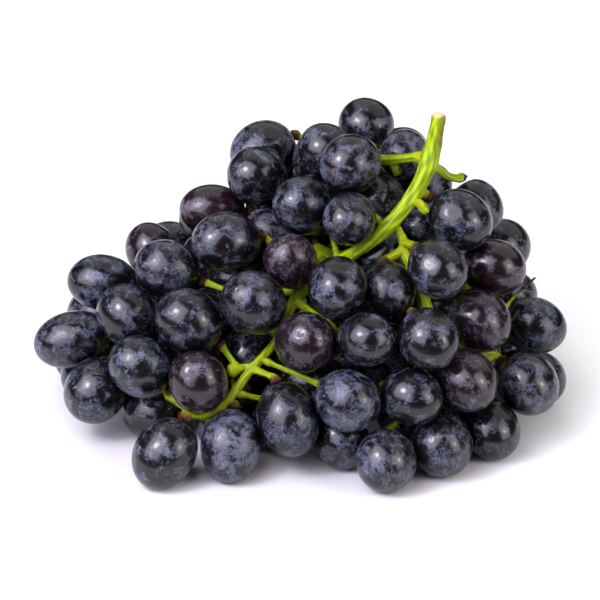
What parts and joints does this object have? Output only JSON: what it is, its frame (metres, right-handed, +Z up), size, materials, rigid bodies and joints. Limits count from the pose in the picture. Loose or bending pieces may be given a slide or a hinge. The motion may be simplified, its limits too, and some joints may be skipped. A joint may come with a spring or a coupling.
{
  "type": "bunch of grapes",
  "caption": "Bunch of large round to oval black table grapes lying on its side, on one branching green stalk cut off at its top right.",
  "frame": {"origin": "under the middle of the bunch's box, on the surface it lies on", "axes": "+X across the bunch from its pointed left end to its broad right end, +Y from the face that shows the stalk towards the back, +Z up from the surface"},
  "size_m": [0.1888, 0.1506, 0.1078],
  "materials": {
    "grape_skin": "smooth black skin under a patchy blue-grey bloom",
    "green_stalk": "fresh ridged green stem with brown caps"
  },
  "bodies": {
    "root": {"back_high_berries": "grape_skin", "back_low_berries_left": "grape_skin", "back_low_berries_right": "grape_skin", "back_middle_berries": "grape_skin", "back_table_berries_left": "grape_skin", "back_table_berries_right": "grape_skin", "back_top_berries": "grape_skin", "crown_berry_1": "grape_skin", "crown_berry_2": "grape_skin", "crown_berry_3": "grape_skin", "crown_berry_4": "grape_skin", "crown_berry_5": "grape_skin", "crown_berry_6": "grape_skin", "crown_berry_7": "grape_skin", "foot_berry_1": "grape_skin", "foot_berry_2": "grape_skin", "foot_berry_3": "grape_skin", "foot_berry_4": "grape_skin", "foot_berry_5": "grape_skin", "foot_berry_6": "grape_skin", "foot_berry_7": "grape_skin", "heart_berry_1": "grape_skin", "heart_berry_2": "grape_skin", "heart_berry_3": "grape_skin", "heart_berry_4": "grape_skin", "heart_berry_5": "grape_skin", "heart_berry_6": "grape_skin", "inner_crown_berries": "grape_skin", "inner_front_berries": "grape_skin", "inner_left_berries": "grape_skin", "inner_right_berries": "grape_skin", "inner_table_berries": "grape_skin", "left_flank_berry_1": "grape_skin", "left_flank_berry_2": "grape_skin", "left_flank_berry_3": "grape_skin", "left_flank_berry_4": "grape_skin", "left_flank_berry_5": "grape_skin", "left_flank_berry_6": "grape_skin", "left_flank_berry_7": "grape_skin", "left_shoulder_berry_1": "grape_skin", "left_shoulder_berry_2": "grape_skin", "left_shoulder_berry_3": "grape_skin", "left_shoulder_berry_4": "grape_skin", "left_shoulder_berry_5": "grape_skin", "left_shoulder_berry_6": "grape_skin", "right_flank_berry_1": "grape_skin", "right_flank_berry_2": "grape_skin", "right_flank_berry_3": "grape_skin", "right_flank_berry_4": "grape_skin", "right_shoulder_berry_1": "grape_skin", "right_shoulder_berry_2": "grape_skin", "right_shoulder_berry_3": "grape_skin", "right_shoulder_berry_4": "grape_skin", "right_shoulder_berry_5": "grape_skin", "stalk": "green_stalk", "tip_berry_1": "grape_skin", "tip_berry_2": "grape_skin", "tip_berry_3": "grape_skin", "tip_berry_4": "grape_skin", "tip_berry_5": "grape_skin"}
  },
  "joints": []
}
